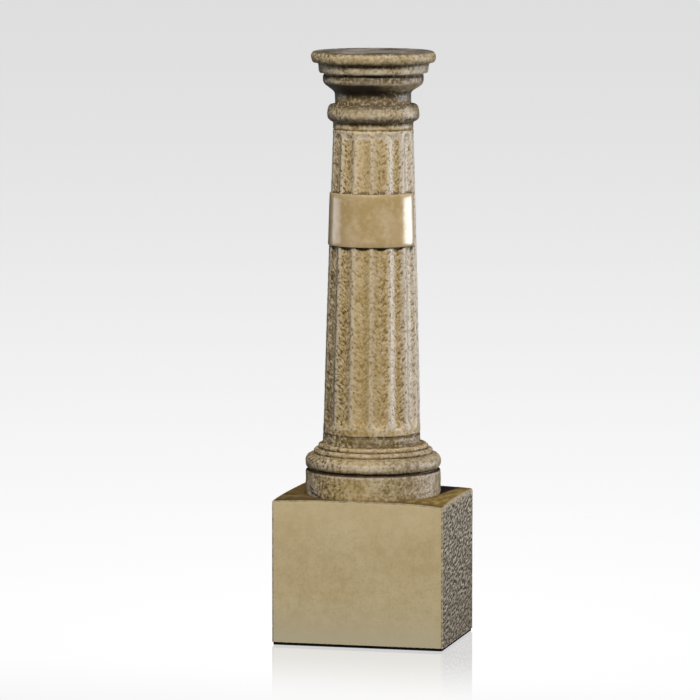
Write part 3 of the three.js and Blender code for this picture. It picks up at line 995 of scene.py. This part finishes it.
# Darker towards the left than on the right
darker_to_left = product(
    add, spread(add, axes["X"], -0.008, -0.027, 0.0, 0.76),
    spread(add, height, band_foot - 0.03, band_head, 1.0, 0.55),
    spread(add, moulded, 0.0, 1.0, 1.0, 0.88),
)
body = mix_colours(add, darker_to_left, body, (0.115, 0.072, 0.018, 1.0))
left_ochre = product(add, spread(add, turn, -0.15, -0.30, 0.0, 0.22), spread(add, hollow, 0.10, 0.50))
body = mix_colours(add, left_ochre, body, (0.200, 0.128, 0.034, 1.0))
left_hollows = product(
    add, spread(add, turn, -0.60, -0.70, 0.0, 0.50), spread(add, hollow, 0.06, 0.35),
    spread(add, height, band_foot - 0.03, band_head, 1.0, 0.35),
)
body = mix_colours(add, left_hollows, body, (0.088, 0.056, 0.015, 1.0))
right_dirt = product(
    add, spread(add, axes["X"], 0.006, 0.028, 0.0, 0.60), spread(add, height, shaft_foot, lower_roll),
)
body = mix_colours(add, right_dirt, body, (0.20, 0.155, 0.100, 1.0))
# Painted sheen of the right softbox: a pale strip on the flutes round to the right, and a paler far right
# edge
painted_sheen_strip = at_heights(add, turn, 0.61, 0.76, 0.035)
painted_edge_sheen = spread(add, turn, 0.90, 0.98)
painted_right_sheen = product(add, sum_of(add, "MAXIMUM", painted_sheen_strip, painted_edge_sheen), on_flutes, 0.50)
body = mix_colours(add, painted_right_sheen, body, (0.50, 0.445, 0.375, 1.0))
# Worn ridges are pale, and creases are darkened: stain with painted shade
body = mix_colours(add, spread(add, fold, -1.0, -4.0, 0.0, 0.20), body, (0.54, 0.47, 0.36, 1.0))
body = mix_colours(add, spread(add, fold, 0.5, 4.0, 0.0, 0.75), body, (0.095, 0.060, 0.018, 1.0))
stain_and_shade_in_creases = product(add, spread(add, crease, 0.3, 1.4, 0.0, 0.80), spread(add, mottle, 0.35, 0.55, 0.5, 1.0))
body = mix_colours(add, stain_and_shade_in_creases, body, (0.09, 0.058, 0.018, 1.0))
# Stain lies in narrow bands along the mouldings. Under the fascia, under the echinus, under the ring and
# in the drum's groove these bands are also painted shade.
stains = (
    (abacus_head - 0.0011, abacus_head + 0.0010, 0.0004, 0.80, (0.075, 0.054, 0.024, 1.0)),
    # Painted shade under the fascia, over stain
    (face_head - 0.0022, face_head + 0.0004, 0.0006, 0.85, (0.055, 0.039, 0.014, 1.0)),
    (echinus_head - 0.0002, face_head - 0.0014, 0.0005, 0.60, (0.125, 0.080, 0.022, 1.0)),
    # Painted shade and stain under the echinus
    (neck_head - 0.0018, neck_head + 0.0008, 0.0008, 0.75, (0.050, 0.035, 0.013, 1.0)),
    (ring_head - 0.0014, ring_head + 0.0006, 0.0005, 0.85, (0.070, 0.049, 0.019, 1.0)),
    # Painted shade and stain under the ring
    (shaft_top - 0.0008, shaft_top + 0.0032, 0.0011, 0.80, (0.070, 0.049, 0.020, 1.0)),
    (shaft_foot, foot_line + 0.0002, 0.0004, 0.45, (0.160, 0.105, 0.034, 1.0)),
    (foot_line - 0.0011, foot_line + 0.0003, 0.0003, 0.80, (0.070, 0.045, 0.013, 1.0)),
    (seat, seat + 0.0007, 0.0004, 0.50, (0.110, 0.072, 0.024, 1.0)),
    (lower_roll - 0.0010, lower_roll + 0.0006, 0.0005, 0.30, (0.170, 0.115, 0.038, 1.0)),
    # Painted shade and stain in the groove above the drum
    (drum_top - 0.0004, torus_foot + 0.0003, 0.0003, 0.94, (0.026, 0.014, 0.003, 1.0)),
)
for low, high, fade, share, tone in stains:
    zone = product(
        add, at_heights(add, height, low, high, fade), spread(add, mottle, 0.30, 0.55, 0.75, 1.0), share,
    )
    body = mix_colours(add, zone, body, tone)
# Pale and dark flecks, stronger towards both sides than in the middle. The pale flecks are pale specks and
# painted glints.
to_right = spread(add, axes["X"], 0.003, 0.016, 0.58, 0.95)
to_left = spread(add, axes["X"], -0.002, -0.012, 0.58, 1.25)
on_neck = product(add, at_heights(add, height, ring_head, neck_head, 0.001), 0.85)
near_groove = at_heights(add, height, drum_top - 0.0004, torus_foot + 0.0002, 0.0002)
moulded_right = product(add, moulded, spread(add, axes["X"], -0.022, -0.008))
fleck_share = product(
    add, sum_of(add, "MAXIMUM", sum_of(add, "MAXIMUM", to_right, to_left), on_neck),
    sum_of(add, "SUBTRACT", 1.0, near_groove), spread(add, moulded_right, 0.0, 1.0, 1.0, 0.75),
)
pale_flecks_and_glints = product(add, spread(add, texture, 0.52, 0.62, 0.0, 0.55), fleck_share)
on_left = spread(add, axes["X"], 0.002, -0.014, 0.0, 0.85)
pale_fleck_and_glint_tone = mix_colours(add, on_left, (0.63, 0.56, 0.47, 1.0), (0.60, 0.49, 0.29, 1.0))
body = mix_colours(add, pale_flecks_and_glints, body, pale_fleck_and_glint_tone)
dark_flecks = product(add, spread(add, texture, 0.475, 0.39, 0.0, 0.78), fleck_share)
body = mix_colours(add, dark_flecks, body, (0.070, 0.043, 0.011, 1.0))
# Under the echinus the colour goes near black: stain that ran together there, and painted shade, less on
# the right where the right light reaches
stain_and_shade_under_echinus = at_heights(add, height, neck_head - 0.0008, echinus_head - 0.0004, 0.0009)
stain_and_shade_share = spread(add, axes["X"], 0.016, 0.006, 0.30, 0.93)
body = mix_colours(add, product(add, stain_and_shade_under_echinus, stain_and_shade_share), body, (0.020, 0.014, 0.008, 1.0))
filler_share = product(add, filler, spread(add, mottle, 0.35, 0.5, 0.2, 0.8))
body = mix_colours(add, filler_share, body, (0.40, 0.31, 0.23, 1.0))
# Two cracks run through the filler, low on the drum's left
crack_middle = -0.87
jagged = product(add, sum_of(add, "SUBTRACT", mottle, 0.5), 0.006)
crack_height = sum_of(add, "ADD", sum_of(add, "SUBTRACT", height, seat), jagged)
cracks = ((0.0042, 0.0, -0.96, -0.80), (0.0020, -0.0065, -0.92, -0.62))
for foot, climb, first, last in cracks:
    course = product(add, sum_of(add, "SUBTRACT", turn, crack_middle), climb)
    course = sum_of(add, "ADD", course, foot)
    off_course = sum_of(add, "ABSOLUTE", sum_of(add, "SUBTRACT", crack_height, course))
    crack = product(
        add, spread(add, off_course, 0.00110, 0.00050), spread(add, turn, first - 0.06, first + 0.04),
        spread(add, turn, last + 0.06, last - 0.04), spread(add, height, drum_top, drum_top - 0.001),
    )
    body = mix_colours(add, crack, body, (0.022, 0.014, 0.006, 1.0))
# The blank band is smoother and more even than the rest
band_tone = mix_colours(
    add, spread(add, clouds, 0.38, 0.62), (0.385, 0.272, 0.120, 1.0), (0.485, 0.365, 0.215, 1.0),
)
band_tone = mix_colours(add, spread(add, mottle, 0.5, 0.7, 0.0, 0.3), band_tone, (0.62, 0.50, 0.34, 1.0))
body = mix_colours(add, band, body, band_tone)
# The abacus's top is dark grey-brown stain with pale grey patches of wear and painted sheen, and darker
# towards its rim
top = spread(add, height, abacus_head - 0.0008, abacus_head - 0.0003)
top_wear_and_sheen = add("Mix", {0: 0.35, 2: clouds, 3: specks})[0]
top_tone = mix_colours(
    add, spread(add, top_wear_and_sheen, 0.43, 0.57), (0.095, 0.076, 0.056, 1.0), (0.34, 0.30, 0.255, 1.0),
)
level_place = add("CombineXYZ", {0: axes["X"], 1: axes["Y"]})["Vector"]
from_axis = add("VectorMath", {0: level_place}, operation="LENGTH")["Value"]
by_rim = spread(add, from_axis, 0.0285, 0.0305, 0.0, 0.75)
top_tone = mix_colours(add, by_rim, top_tone, (0.075, 0.055, 0.030, 1.0))
body = mix_colours(add, top, body, top_tone)
relief = product(add, texture, bare)
surface = add("Bump", {"Strength": 0.6, "Distance": 0.0005, "Height": relief})["Normal"]
matt = spread(add, facing, 0.10, 0.60, 0.40, 1.0)
polished = spread(add, facing, 0.15, 0.45, 0.22, 0.80)
roughness = add("Mix", {0: band, 2: matt, 3: polished})[0]
column_links = column_stone.node_tree.links
column_links.new(body, column_shader.inputs["Base Color"])
column_links.new(roughness, column_shader.inputs["Roughness"])
column_links.new(surface, column_shader.inputs["Normal"])
column_links.new(product(add, band, 0.45), column_shader.inputs["Coat Weight"])
column_shader.inputs["Coat Roughness"].default_value = 0.24
column_shader.inputs["Specular IOR Level"].default_value = 0.30
column.data.materials.append(column_stone)
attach(column, "root")
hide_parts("column")


# The bounds of the finished model
low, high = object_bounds()
